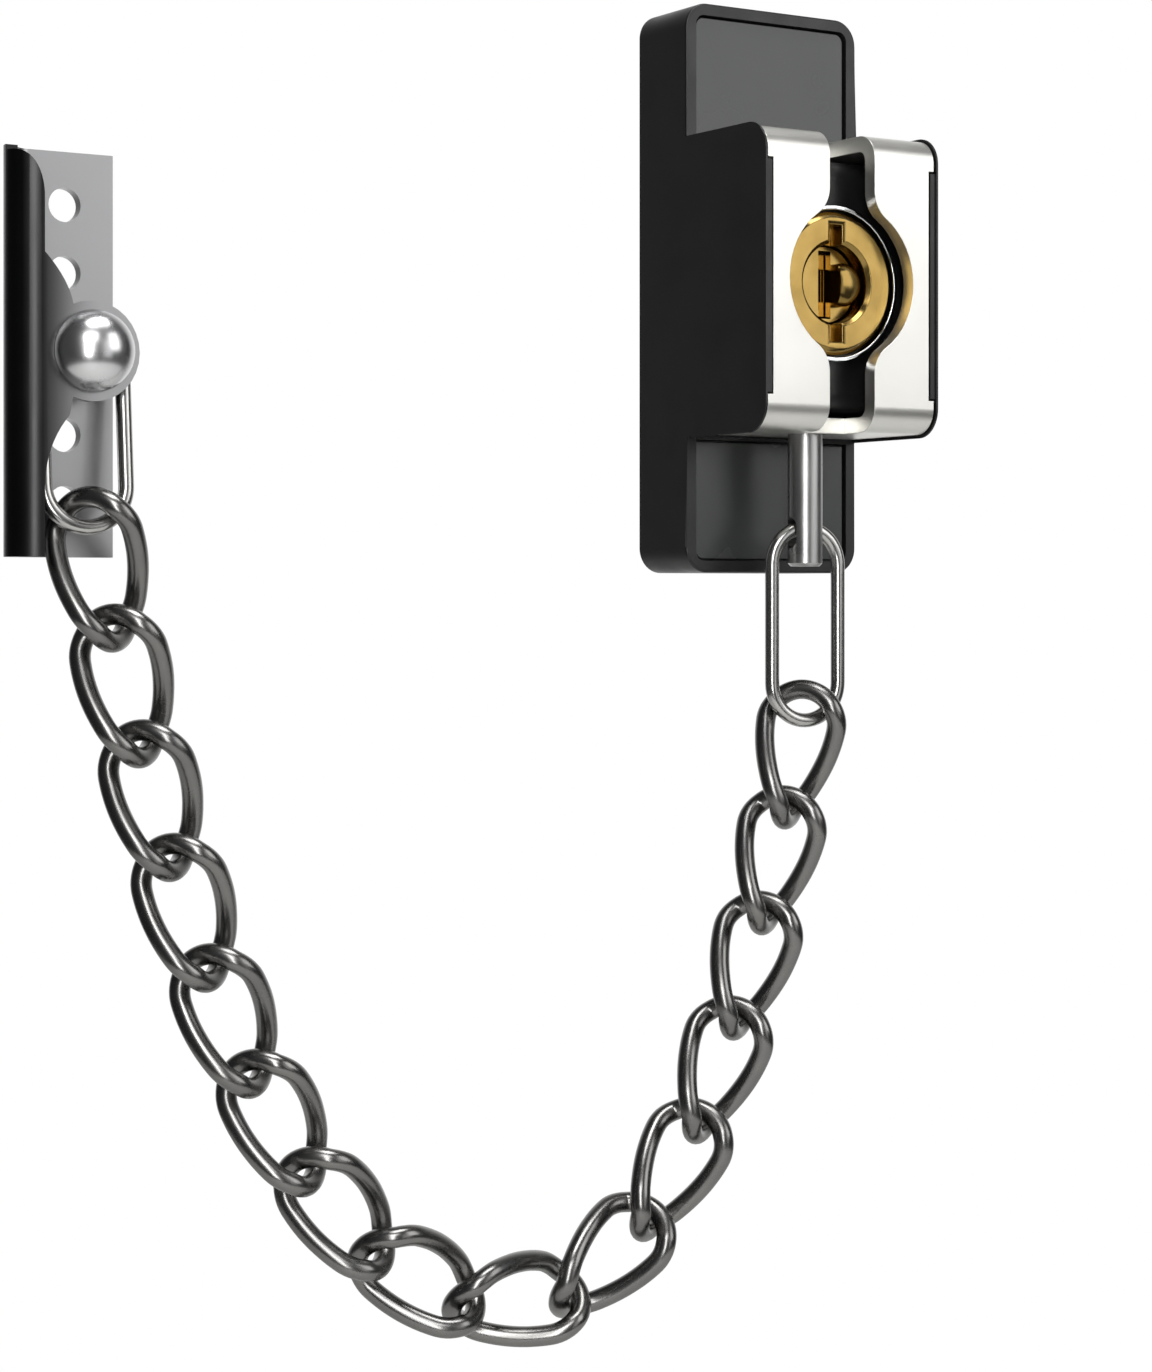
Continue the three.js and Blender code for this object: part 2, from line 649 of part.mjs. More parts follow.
// The slopes of a hanging chain's links rise in equal steps, so two numbers, the step and the place
// of the lowest link, set its shape. They are found so that the chain spans the given distance.
function hangingAngles(count, pitch, across, up) {
  const slopes = (step, lowest) =>
    Array.from({ length: count }, (_, i) => Math.atan(step * (i - lowest) * (i > lowest ? hang.lean : 1)));
  const sum = (angles, f) => angles.reduce((total, angle) => total + pitch * f(angle), 0);
  const bisect = (low, high, tooHigh) => {
    for (let i = 0; i < 60; i++) {
      const middle = (low + high) / 2;
      if (tooHigh(middle)) high = middle;
      else low = middle;
    }
    return (low + high) / 2;
  };
  const stepFor = (lowest) => bisect(0, 50, (step) => sum(slopes(step, lowest), Math.cos) < across);
  const lowest = bisect(0, count - 1, (at) => sum(slopes(stepFor(at), at), Math.sin) < up);
  return slopes(stepFor(lowest), lowest).map((slope) => slope + Math.PI / 2);
}

// Travel along the chain at a heading: 0 is straight down, 90 degrees is away from the lock.
const heading = (angle) => new THREE.Vector2(-Math.sin(angle), -Math.cos(angle));

// The chain hangs in one upright plane, from the plug to the foot of the link on the bracket's rivet.
function chainLayout() {
  const span = Math.hypot(bracket.rivetX, plug.y - hang.endY);
  const upperBow = plug.eyeZ - 2 * longHalf + longLink.wire / 2;
  const lean = Math.asin((hang.linkTopY - hang.endY) / (2 * longHalf));
  const drop = 2 * longHalf * Math.cos(lean);
  const lowerBow = bracket.rivetZ + rivet.shaft + play.rivet + longLink.wire - drop;
  const first = new THREE.Vector2(0, upperBow + play.upper - play.curbs / 2);
  const last = new THREE.Vector2(-span, lowerBow + play.lower - play.curbs / 2);
  const angles = hangingAngles(curbLink.count, curbLink.pitch, first.x - last.x, last.y - first.y);
  const middles = [];
  const pivot = first.clone();
  for (const angle of angles) {
    middles.push(pivot.clone().addScaledVector(heading(angle), curbLink.pitch / 2));
    pivot.addScaledVector(heading(angle), curbLink.pitch);
  }
  return { angles, middles, span, lean, linkMiddle: lowerBow - longLink.wire / 2 + drop / 2 };
}

const chain = chainLayout();
const curbHalf = curbLink.pitch / 2 + (curbLink.wire + play.curbs) / 2;
const curbRadius = (curbLink.width - curbLink.wire) / 2;

// Turns a link drawn about its own middle to a heading in the X-Z plane, and moves its middle there.
function hung(geometry, middle, angle) {
  const along = heading(angle);
  const frame = new THREE.Matrix4().makeBasis(
    new THREE.Vector3(along.x, 0, along.y),
    new THREE.Vector3(-along.y, 0, along.x),
    new THREE.Vector3(0, -1, 0),
  );
  frame.setPosition(middle.x, 0, middle.y);
  return solid(geometry.applyMatrix4(frame));
}

// Moves a hung link into the chain's own upright plane.
const intoChain = (made) => made.rotate([0, 0, THREE.MathUtils.radToDeg(chainYaw)]).translate([0, plug.y, 0]);

function longLinkGeometry() {
  const curve = new LinkCurve(longHalf, longRadius, 0, 1);
  return new THREE.TubeGeometry(curve, 28, longLink.wire / 2, 8, true);
}

function curbGeometry() {
  const twist = THREE.MathUtils.degToRad(curbLink.twist);
  const curve = new LinkCurve(curbHalf, curbRadius, twist, curbLink.twistedShare);
  return new THREE.TubeGeometry(curve, 24, curbLink.wire / 2, 8, true);
}

// The bracket's long link leans out from the wall, so that the twisted links clear the bracket's plate.
function bracketLink() {
  const middle = new THREE.Vector2(-chain.span, chain.linkMiddle);
  const made = intoChain(hung(longLinkGeometry().rotateY(chain.lean), middle, Math.PI));
  return made.translate([0, (hang.linkTopY - hang.endY) / 2, 0]);
}

function chainLinks() {
  const upperMiddle = new THREE.Vector2(0, plug.eyeZ - longHalf);
  place("long_link_lock", intoChain(hung(longLinkGeometry(), upperMiddle, 0)), nickelWire);
  chain.angles.forEach((angle, index) => {
    const name = `curb_link_${String(index + 1).padStart(2, "0")}`;
    place(name, intoChain(hung(curbGeometry(), chain.middles[index], angle)), blackNickel);
  });
  place("long_link_bracket", bracketLink(), nickelWire);
}

// ---------- bracket ----------
// The folded sheet seen from above: the plate on the wall, the bend, and the flange in front.
function channelSection() {
  const outer = bracket.depth / 2;
  const inner = outer - bracket.sheet;
  const right = bracket.rivetX + tab.radius + overcut;
  const shape = new THREE.Shape();
  shape.moveTo(right, 0);
  shape.lineTo(bracketEdges.bendX, 0);
  shape.absarc(bracketEdges.bendX, -outer, outer, Math.PI / 2, 1.5 * Math.PI);
  shape.lineTo(right, -bracket.depth);
  shape.lineTo(right, bracket.sheet - bracket.depth);
  shape.lineTo(bracketEdges.bendX, bracket.sheet - bracket.depth);
  shape.absarc(bracketEdges.bendX, -outer, inner, 1.5 * Math.PI, Math.PI / 2, true);
  shape.lineTo(right, -bracket.sheet);
  return shape;
}

// The flange's edge: a strip along the bend that swells into a round tab about the rivet.
function flangeOutline() {
  const left = bracketEdges.bendX - bracket.depth;
  const { lipX, cornerHeight, topDrop } = bracketEdges;
  const shape = new THREE.Shape();
  const cornerWidth = lipX - (bracketEdges.bendX - bracket.depth / 2);
  shape.moveTo(left, bracket.bottom);
  shape.lineTo(lipX, bracket.bottom);
  shape.lineTo(lipX, neckline.lowerZ);
  shape.quadraticCurveTo(
    lipX,
    neckline.lowerZ + tab.lowerRise,
    neckline.lowerX,
    neckline.lowerStart - tab.lowerEase,
  );
  shape.absarc(bracket.rivetX, bracket.rivetZ, tab.radius, -tab.halfAngle, tab.halfAngle);
  shape.quadraticCurveTo(neckline.upperX, neckline.upperEnd + tab.upperEase, lipX, neckline.upperZ);
  shape.lineTo(lipX, bracket.top - cornerHeight);
  const cornerZ = bracket.top - cornerHeight;
  shape.absellipse(lipX - cornerWidth, cornerZ, cornerWidth, cornerHeight - topDrop, 0, Math.PI / 2);
  shape.lineTo(left, bracket.top - topDrop);
  return shape;
}

function bracketPlate() {
  const middle = -bracket.depth / 2;
  const left = bracketEdges.bendX - bracket.depth;
  const folded = slabXY(channelSection(), bracket.bottom, bracket.top);
  const back = box(left, bracketEdges.right, middle, overcut, bracket.bottom - overcut, bracket.top + overcut);
  const front = slabXZ(flangeOutline(), -bracket.depth - overcut, middle, 10);
  const trimmed = folded.intersect(join(back, front));
  const holes = screwHoles.offsets.map((offset) =>
    barY(screwHoles.radius, screwHoles.x, bracket.rivetZ + offset, -bracket.sheet - overcut, overcut, 28),
  );
  const rivetHole = barY(
    rivet.shaft + gap,
    bracket.rivetX,
    bracket.rivetZ,
    -bracket.depth - overcut,
    overcut,
  );
  const sink = turned(
    [
      [0, -rivet.tailHeight - gap],
      [rivet.shaft + gap, -rivet.tailHeight - gap],
      [rivet.tailRadius + gap, gap],
      [0, gap],
    ],
    32,
  ).translate([bracket.rivetX, 0, bracket.rivetZ]);
  return cut(trimmed, ...holes, rivetHole, sink);
}

function bracketRivet() {
  const seat = -(bracket.depth + gap);
  const tail = -gap;
  const dome = domeProfile(rivet.head, -seat, rivet.headHeight, rivet.steps);
  const profile = [
    ...dome.reverse(),
    [rivet.shaft, seat],
    [rivet.shaft, tail - rivet.tailHeight],
    [rivet.tailRadius - gap, tail],
    [0, tail],
  ];
  return turned(profile, 32).translate([bracket.rivetX, 0, bracket.rivetZ]);
}

// ---------- assembly ----------
place("housing_shell", housingShell(), blackPlastic);
place("upper_panel", coverPanel(), smokedPlastic);
place("lower_panel", mirrored(coverPanel()), smokedPlastic);
place("mounting_plate", mountingPlate(), zincSteel);
place("plate_screw_upper", screw(0, plateScrew.z, -gap, plateScrew, plateScrew.length), zincSteel);
place("plate_screw_lower", screw(0, -plateScrew.z, -gap, plateScrew, plateScrew.length), zincSteel);
place("steel_guard", steelGuard(), satinStainless);
place("lock_case", caseBody(), blackPlastic);
caseScrews();
place("cylinder_shell", cylinderShell(), brass);
place("face_ring", faceRing(), chrome);
place("cylinder_clip", cylinderClip(), springSteel);
place("cylinder_core", cylinderCore(), brass);
for (let index = 0; index < wafer.count; index++) place(`wafer_${index + 1}`, waferPlate(index), brass);
place("core_cam", coreCam(), zincSteel);
place("cam_screw", camScrewPiece(), zincSteel);
place("locking_slide", lockingSlide(), zincSteel);
place("detent_ball", detentBall(), springSteel);
place("detent_spring", detentSpring(), springSteel);
place("chain_plug", chainPlug(), satinStainless);
chainLinks();
place("bracket_plate", bracketPlate(), polishedSteel);
place("bracket_rivet", bracketRivet(), polishedSteel);

export default root;
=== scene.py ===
"""Looks for a door chain guard: fine pieces, materials, floor, lights and camera around the CAD frame."""

import json
import math

import bmesh
import bpy
import numpy as np
from bpy.props import FloatProperty, IntProperty, PointerProperty
from bpy.types import Operator, Panel, PropertyGroup
from mathutils import Matrix, Vector


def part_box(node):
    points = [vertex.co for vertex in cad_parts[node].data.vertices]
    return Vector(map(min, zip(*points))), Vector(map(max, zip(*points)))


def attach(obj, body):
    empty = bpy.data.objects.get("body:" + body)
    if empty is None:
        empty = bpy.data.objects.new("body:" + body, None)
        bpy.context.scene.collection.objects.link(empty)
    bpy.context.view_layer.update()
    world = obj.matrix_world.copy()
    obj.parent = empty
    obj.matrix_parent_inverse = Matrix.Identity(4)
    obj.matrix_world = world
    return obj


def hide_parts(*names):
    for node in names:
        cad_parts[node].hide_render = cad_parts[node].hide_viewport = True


bl_info = {
    "name": "Door Chain Guard",
    "version": (1, 0, 0),
    "blender": (4, 5, 0),
    "location": "View3D > Sidebar > Chain Guard",
    "description": "Builds the fine pieces and finishes of a door chain guard",
    "category": "Object",
}

MM = 0.001
CAMERA_PLACE = (-0.2813, -0.3970, -0.0479)
VIEW_WAY = (0.537, 0.844, 0.0)  # from the camera, level, towards the object
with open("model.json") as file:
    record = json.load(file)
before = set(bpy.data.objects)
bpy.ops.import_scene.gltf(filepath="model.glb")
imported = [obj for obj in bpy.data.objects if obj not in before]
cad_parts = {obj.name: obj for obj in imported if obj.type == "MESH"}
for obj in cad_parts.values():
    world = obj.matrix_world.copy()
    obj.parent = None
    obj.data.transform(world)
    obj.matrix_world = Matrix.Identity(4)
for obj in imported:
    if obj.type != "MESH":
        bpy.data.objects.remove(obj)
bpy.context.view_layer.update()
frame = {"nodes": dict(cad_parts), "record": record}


# ---------- colour and material helpers ----------
def linear(hex_colour):
    """An sRGB hex colour as linear RGBA."""
    channels = [int(hex_colour[i : i + 2], 16) / 255 for i in (1, 3, 5)]
    return [c / 12.92 if c <= 0.04045 else ((c + 0.055) / 1.055) ** 2.4 for c in channels] + [1.0]


def add(tree, kind, settings=None, **inputs):
    """Adds a node, with its settings, and its inputs as values or as sockets to link from."""
    node = tree.nodes.new(kind)
    for key, value in (settings or {}).items():
        setattr(node, key, value)
    for key, value in inputs.items():
        socket = node.inputs[int(key[1:])] if key[0] == "i" and key[1:].isdigit() else node.inputs[key]
        if isinstance(value, bpy.types.NodeSocket):
            tree.links.new(value, socket)
        else:
            socket.default_value = value
    return node


def start_material(name, colour, roughness, metallic, **more):
    """A material with one Principled shader, its node tree and the object coordinates."""
    material = bpy.data.materials.new(name)
    material.use_nodes = True
    tree = material.node_tree
    shader = tree.nodes["Principled BSDF"]
    shader.inputs["Base Color"].default_value = linear(colour)
    shader.inputs["Roughness"].default_value = roughness
    shader.inputs["Metallic"].default_value = metallic
    for key, value in more.items():
        shader.inputs[key.replace("_", " ")].default_value = value
    place = add(tree, "ShaderNodeTexCoord").outputs["Object"]
    return material, tree, shader, place


def vary(tree, place, socket, size_mm, low, high):
    """Lets a value wander between low and high, with patches of about size_mm."""
    noise = add(tree, "ShaderNodeTexNoise", None, Vector=place, Scale=1 / (size_mm * MM), Detail=3.0)
    ranged = add(tree, "ShaderNodeMapRange", None, Value=noise.outputs["Fac"])
    ranged.inputs["From Min"].default_value = 0.35
    ranged.inputs["From Max"].default_value = 0.65
    ranged.inputs["To Min"].default_value = low
    ranged.inputs["To Max"].default_value = high
    tree.links.new(ranged.outputs["Result"], socket)


def grain(tree, place, shader, size_mm, depth_mm, strength=1.0, stretch=(1, 1, 1)):
    """Fine relief with grains of about size_mm, depth_mm high."""
    wide = add(tree, "ShaderNodeMapping", None, Vector=place, Scale=stretch)
    noise = add(
        tree,
        "ShaderNodeTexNoise",
        None,
        Vector=wide.outputs["Vector"],
        Scale=1 / (size_mm * MM),
        Detail=2.0,
    )
    bump = add(
        tree,
        "ShaderNodeBump",
        None,
        Height=noise.outputs["Fac"],
        Distance=depth_mm * MM,
        Strength=strength,
    )
    tree.links.new(bump.outputs["Normal"], shader.inputs["Normal"])


def tint(tree, place, shader, size_mm, colour_a, colour_b):
    """Lets the colour wander a little between two near shades."""
    noise = add(tree, "ShaderNodeTexNoise", None, Vector=place, Scale=1 / (size_mm * MM))
    ramp = add(tree, "ShaderNodeValToRGB", None, Fac=noise.outputs["Fac"])
    ramp.color_ramp.elements[0].position = 0.35
    ramp.color_ramp.elements[0].color = linear(colour_a)
    ramp.color_ramp.elements[1].position = 0.65
    ramp.color_ramp.elements[1].color = linear(colour_b)
    tree.links.new(ramp.outputs["Color"], shader.inputs["Base Color"])


def blend_range(tree, value, start_mm, end_mm):
    """Rises smoothly from 0 to 1 as a coordinate goes from one place to the other."""
    ranged = add(tree, "ShaderNodeMapRange", {"interpolation_type": "SMOOTHSTEP"}, Value=value)
    ranged.inputs["From Min"].default_value = start_mm * MM
    ranged.inputs["From Max"].default_value = end_mm * MM
    return ranged.outputs["Result"]


# ---------- materials ----------
def moulded_black_abs():
    """ABS moulded in a spark-eroded tool: a soft sheen with a very fine, even grain."""
    material, tree, shader, place = start_material("moulded_black_abs", "#0f0f10", 0.4, 0.0, IOR=1.5)
    vary(tree, place, shader.inputs["Roughness"], 6, 0.36, 0.44)
    grain(tree, place, shader, 0.22, 0.012, 0.5)
    return material


def smoked_acrylic_cover():
    """Cast acrylic sheet tinted dark grey: smooth, glossy, with a very slight orange peel."""
    material, tree, shader, place = start_material("smoked_acrylic_cover", "#333534", 0.26, 0.0, IOR=1.49)
    vary(tree, place, shader.inputs["Roughness"], 14, 0.25, 0.28)
    grain(tree, place, shader, 4, 0.004, 0.15)
    return material


def bead_blasted_stainless():
    """Stainless sheet, bead blasted after folding: a bright, even, fine-grained satin."""
    material, tree, shader, place = start_material("bead_blasted_stainless", "#dcdbd5", 0.36, 1.0)
    tint(tree, place, shader, 16, "#dddcd7", "#e2e1dc")
    vary(tree, place, shader.inputs["Roughness"], 12, 0.35, 0.38)
    grain(tree, place, shader, 0.16, 0.010, 0.55)
    return material


def ground_steel_pin():
    """Centreless-ground steel rod: a dark satin with fine rings round the rod."""
    material, tree, shader, place = start_material("ground_steel_pin", "#b2b2b1", 0.3, 1.0)
    vary(tree, place, shader.inputs["Roughness"], 5, 0.27, 0.33)
    grain(tree, place, shader, 0.3, 0.001, 0.25, stretch=(0.1, 0.1, 1))
    return material


def turned_brass():
    """Brass turned on a lathe and polished: warm and bright, with faint rings round the axis."""
    material, tree, shader, place = start_material("turned_brass", "#8e7642", 0.2, 1.0)
    tint(tree, place, shader, 5, "#88703e", "#957c47")
    vary(tree, place, shader.inputs["Roughness"], 4, 0.17, 0.23)
    rings = add(
        tree,
        "ShaderNodeTexWave",
        {"wave_type": "RINGS", "rings_direction": "Y", "wave_profile": "SIN"},
        Vector=place,
        Scale=1 / (20 * 0.35 * MM),
        Distortion=0.4,
    )
    bump = add(tree, "ShaderNodeBump", None, Height=rings.outputs["Fac"], Distance=0.002 * MM, Strength=0.5)
    tree.links.new(bump.outputs["Normal"], shader.inputs["Normal"])
    return material


def bright_chrome():
    """Decorative chromium plate over nickel: a cold mirror."""
    material, tree, shader, place = start_material("bright_chrome", "#dadde0", 0.06, 1.0)
    vary(tree, place, shader.inputs["Roughness"], 4, 0.05, 0.09)
    return material


def black_nickel_plate():
    """Black nickel over barrel-polished steel wire: a dark, slightly warm mirror with soft waves."""
    material, tree, shader, place = start_material("black_nickel_plate", "#7b7a79", 0.27, 1.0)
    tint(tree, place, shader, 9, "#777675", "#807f7d")
    vary(tree, place, shader.inputs["Roughness"], 6, 0.24, 0.29)
    grain(tree, place, shader, 3, 0.006, 0.2)
    return material


def bright_nickel_wire():
    """Nickel-plated drawn wire: a grey mirror with faint drawing lines."""
    material, tree, shader, place = start_material("bright_nickel_wire", "#b3b2b0", 0.22, 1.0)
    vary(tree, place, shader.inputs["Roughness"], 4, 0.2, 0.25)
    grain(tree, place, shader, 2.5, 0.004, 0.2)
    return material


def black_chrome_sheet():
    """Folded steel sheet with black chrome plate, its colour painted darker over the bend and the flange as a
    painted dark reflection of the dim surroundings.
    """
    material, tree, shader, place = start_material("black_chrome_sheet", "#a0a0a1", 0.32, 1.0)
    # Painted reflection: the base colour runs from #333333 over the bend and the front flange, where the
    # plate mirrors the dim surroundings, to #a0a0a1 on the wall plate and beside the bend.
    along = add(tree, "ShaderNodeSeparateXYZ", None, Vector=place)
    beside_bend = blend_range(tree, along.outputs["X"], -123.5, -113.5)
    at_wall = blend_range(tree, along.outputs["Y"], -4.5, -2.0)
    # Share of the lighter colour: 0 over the bend and the flange, where the dark reflection is painted, 1 on
    # the wall plate and beside the bend.
    clear_of_painted_dark = add(tree, "ShaderNodeMath", {"operation": "MAXIMUM"}, i0=beside_bend, i1=at_wall)
    ramp = add(tree, "ShaderNodeValToRGB", None, Fac=clear_of_painted_dark.outputs["Value"])
    ramp.color_ramp.elements[0].color = linear("#333333")
    ramp.color_ramp.elements[1].color = linear("#a0a0a1")
    tree.links.new(ramp.outputs["Color"], shader.inputs["Base Color"])
    vary(tree, place, shader.inputs["Roughness"], 9, 0.3, 0.34)
    grain(tree, place, shader, 6, 0.004, 0.2)
    return material


def satin_polished_dome():
    """Steel rivet head, buffed to a soft satin."""
    material, tree, shader, place = start_material("satin_polished_dome", "#d4d4d5", 0.27, 1.0)
    vary(tree, place, shader.inputs["Roughness"], 6, 0.25, 0.28)
    grain(tree, place, shader, 1.0, 0.003, 0.15)
    return material


def bright_zinc_plate():
    """Zinc plate on pressed steel: pale, bluish and slightly cloudy."""
    material, tree, shader, place = start_material("bright_zinc_plate", "#b4b8bb", 0.35, 1.0)
    tint(tree, place, shader, 5, "#a8adb1", "#bfc2c3")
    vary(tree, place, shader.inputs["Roughness"], 2.5, 0.28, 0.45)
    grain(tree, place, shader, 0.4, 0.01, 0.4)
    return material


def hard_drawn_steel():
    """Bare spring steel: plain, grey and fairly smooth."""
    material, tree, shader, place = start_material("hard_drawn_steel", "#8f9296", 0.3, 1.0)
    vary(tree, place, shader.inputs["Roughness"], 2, 0.25, 0.35)
    return material


def pale_floor():
    """Painted round studio table: pale and flat."""
    material, tree, shader, place = start_material("pale_floor", "#ececea", 0.8, 0.0)
    vary(tree, place, shader.inputs["Roughness"], 60, 0.66, 0.74)
    return material


MATERIALS = {}


def finish_of(maker):
    """The material that a maker function builds, made once."""
    if maker.__name__ not in MATERIALS:
        MATERIALS[maker.__name__] = maker()
    return MATERIALS[maker.__name__]


# ---------- mesh helpers ----------
def show(mesh, name):
    """A new object at the origin that shows a mesh."""
    made = bpy.data.objects.new(name, mesh)
    bpy.context.scene.collection.objects.link(made)
    return made


def body_of_node(node):
    return next(b for b, nodes in frame["record"]["behaviour"]["bodies"].items() if node in nodes)


def slot_of_node(node):
    return next(s["material_slot"] for s in frame["record"]["subparts"] if s["node"] == node)


def settle(piece, node, maker):
    """Gives a piece its material and body, and lets it stand for its CAD node."""
    piece.data.materials.clear()
    piece.data.materials.append(finish_of(maker))
    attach(piece, body_of_node(node))
    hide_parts(node)
    return piece


def merged_copy(node):
    """A CAD node's mesh with its loose triangles welded and its flat faces made whole."""
    mesh = frame["nodes"][node].data.copy()
    work = bmesh.new()
    work.from_mesh(mesh)
    bmesh.ops.remove_doubles(work, verts=work.verts, dist=0.002 * MM)
    bmesh.ops.dissolve_limit(
        work, angle_limit=math.radians(0.8), verts=work.verts, edges=work.edges, delimit=set()
    )
    return mesh, work


def sharp(edge, degrees=32):
    return len(edge.link_faces) == 2 and edge.calc_face_angle(0) > math.radians(degrees)


def rounded_piece(node, name, maker, radius_mm, segments=2, big=None, big_mm=0.0):
    """A copy of a CAD node with its sharp edges rounded. big picks edges that get a larger radius."""
    mesh, work = merged_copy(node)
    if big:
        chosen = [e for e in work.edges if sharp(e) and big(e)]
        bmesh.ops.bevel(
            work, geom=chosen, offset=big_mm * MM, segments=4, profile=0.5, affect="EDGES",
            clamp_overlap=True,
        )
    chosen = [e for e in work.edges if sharp(e)]
    bmesh.ops.bevel(
        work, geom=chosen, offset=radius_mm * MM, segments=segments, profile=0.5, affect="EDGES",
        clamp_overlap=True,
    )
    bmesh.ops.remove_doubles(work, verts=work.verts, dist=0.0005 * MM)
    work.to_mesh(mesh)
    work.free()
    return settle(show(even_shading(mesh), name), node, maker)


def even_shading(mesh, degrees=38):
    """Smooth shading that keeps flat faces flat: each corner's normal leans to its largest face."""
    mesh.shade_smooth()
    mesh.set_sharp_from_angle(angle=math.radians(degrees))
    holder = show(mesh, "holder")
    weighted = holder.modifiers.new("weighted", "WEIGHTED_NORMAL")
    weighted.keep_sharp = True
    bpy.context.view_layer.update()
    evaluated = holder.evaluated_get(bpy.context.evaluated_depsgraph_get())
    finished = bpy.data.meshes.new_from_object(evaluated)
    bpy.data.objects.remove(holder)
    return finished


def turned_mesh(profile, centre, segments):
    """A closed solid of revolution about Y. profile is a list of (radius, y) in metres, from axis to axis."""
    work = bmesh.new()
    rings = []
    for radius, y in profile:
        if radius < 1e-7:
            rings.append([work.verts.new((0, y, 0))])
            continue
        angles = [2 * math.pi * i / segments for i in range(segments)]
        rings.append([work.verts.new((radius * math.cos(a), y, radius * math.sin(a))) for a in angles])
    for a, b in zip(rings, rings[1:]):
        for i in range(segments):
            corners = [a[i % len(a)], a[(i + 1) % len(a)], b[(i + 1) % len(b)], b[i % len(b)]]
            work.faces.new(list(dict.fromkeys(corners)))
    bmesh.ops.translate(work, verts=work.verts, vec=centre)
    bmesh.ops.recalc_face_normals(work, faces=work.faces)
    mesh = bpy.data.meshes.new("turned")
    work.to_mesh(mesh)
    work.free()
    mesh.shade_smooth()
    mesh.set_sharp_from_angle(angle=math.radians(35))
    return mesh


# ---------- settings ----------
class ChainSettings(PropertyGroup):
    """Sizes of the chain's wire links, in millimetres."""

    curb_wire: FloatProperty(
        name="Curb wire", description="Thickness of the twisted links' wire", default=3.1
    )
    curb_half: FloatProperty(
        name="Curb half length", description="Middle to end of the wire's centreline", default=10.425
    )
    curb_bow: FloatProperty(name="Curb bow", description="Radius of the twisted links' ends", default=5.6)
    curb_twist: FloatProperty(
        name="Curb twist",
        description="Turn of each end from the middle",
        default=math.radians(45),
        subtype="ANGLE",
    )
    twisted_share: FloatProperty(
        name="Twisted share", description="Share of the half length that twists", default=0.8
    )
    long_wire: FloatProperty(
        name="Long wire", description="Thickness of the long links' wire", default=2.25
    )
    long_half: FloatProperty(
        name="Long half length", description="Middle to end of the wire's centreline", default=15.2
    )
    long_bow: FloatProperty(name="Long bow", description="Radius of the long links' ends", default=5.925)
    around: IntProperty(name="Around", description="Faces round the wire", default=20)
    along: IntProperty(name="Along", description="Steps along the wire", default=112)


class LockSettings(PropertyGroup):
    """Edge radii of the lock body's pieces, in millimetres."""

    moulding_edge: FloatProperty(
        name="Moulding edge", description="Radius on the housing's front outline", default=0.9
    )
    fine_edge: FloatProperty(name="Fine edge", description="Radius on small moulded edges", default=0.14)
    sheet_edge: FloatProperty(
        name="Sheet edge", description="Radius on the blasted sheet's edges", default=0.3
    )
    brass_edge: FloatProperty(name="Brass edge", description="Radius on the turned edges", default=0.2)


class BracketSettings(PropertyGroup):
    """Sizes of the wall bracket's fine pieces, in millimetres."""

    sheet_edge: FloatProperty(
        name="Sheet edge", description="Radius on the folded sheet's edges", default=0.22
    )
    dome_radius: FloatProperty(
        name="Dome radius", description="Half the width of the rivet's head", default=5.85
    )
    dome_height: FloatProperty(name="Dome height", description="Height of the rivet's head", default=5.2)
    rivet_shaft: FloatProperty(name="Rivet shaft", description="Radius of the rivet's shaft", default=3.8)
    rivet_tail: FloatProperty(
        name="Rivet tail", description="Radius of the rivet's spread tail", default=4.5
    )


class StageSettings(PropertyGroup):
    """Floor and camera."""

    floor_z: FloatProperty(name="Floor", description="Height of the floor", default=-0.34, unit="LENGTH")
    floor_radius: FloatProperty(
        name="Floor radius", description="Half the floor's width", default=0.58, unit="LENGTH"
    )
    lens: FloatProperty(name="Lens", description="Focal length in millimetres", default=77.67)
    yaw: FloatProperty(
        name="Yaw", description="Turn of the view", default=math.radians(-32.45), subtype="ANGLE"
    )
    shift: FloatProperty(name="Shift", description="Vertical shift of the frame", default=-0.0692)


